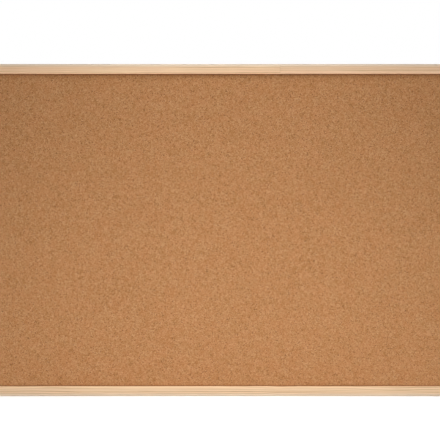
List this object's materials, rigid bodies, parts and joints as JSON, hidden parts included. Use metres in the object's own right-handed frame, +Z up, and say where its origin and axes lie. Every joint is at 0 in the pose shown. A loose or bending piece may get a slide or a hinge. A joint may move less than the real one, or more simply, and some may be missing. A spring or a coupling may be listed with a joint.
{
  "type": "pin board",
  "caption": "Framed cork pin board: grooved, mitred and stapled pine rails hold a cork sheet on a softboard core, with swinging wall hangers on the back.",
  "frame": {"origin": "middle of the bottom rail's underside, half-way through the rail's depth", "axes": "+X to the right as seen from the front, +Y to the back (the cork faces -Y), +Z up"},
  "size_m": [0.6, 0.0193, 0.4],
  "materials": {
    "pine": "planed and sanded, clear sealed, grain along each rail",
    "cork": "matte pressed cork granules",
    "softboard": "matte pressed wood fibre",
    "zinc_steel": "bright zinc plating"
  },
  "bodies": {
    "board": {"left_rail": "pine", "right_rail": "pine", "top_rail_left": "pine", "top_rail_right": "pine", "bottom_rail": "pine", "cork_sheet": "cork", "softboard_core": "softboard", "staple_bottom_left_outer": "zinc_steel", "staple_bottom_left_inner": "zinc_steel", "staple_top_left_outer": "zinc_steel", "staple_top_left_inner": "zinc_steel", "staple_top_right_outer": "zinc_steel", "staple_top_right_inner": "zinc_steel", "staple_bottom_right_outer": "zinc_steel", "staple_bottom_right_inner": "zinc_steel", "hanger_strap_left": "zinc_steel", "hanger_screw_left": "zinc_steel", "hanger_strap_right": "zinc_steel", "hanger_screw_right": "zinc_steel"},
    "left_ring": {"hanger_ring_left": "zinc_steel"},
    "right_ring": {"hanger_ring_right": "zinc_steel"}
  },
  "joints": [
    {"name": "left_ring_swing", "type": "hinge", "parent": "board", "child": "left_ring", "pos_m": [-0.2945, 0.00965, 0.33], "axis": [-1, 0, 0], "range_deg": [0, 170]},
    {"name": "right_ring_swing", "type": "hinge", "parent": "board", "child": "right_ring", "pos_m": [0.2945, 0.00965, 0.33], "axis": [-1, 0, 0], "range_deg": [0, 170]}
  ]
}
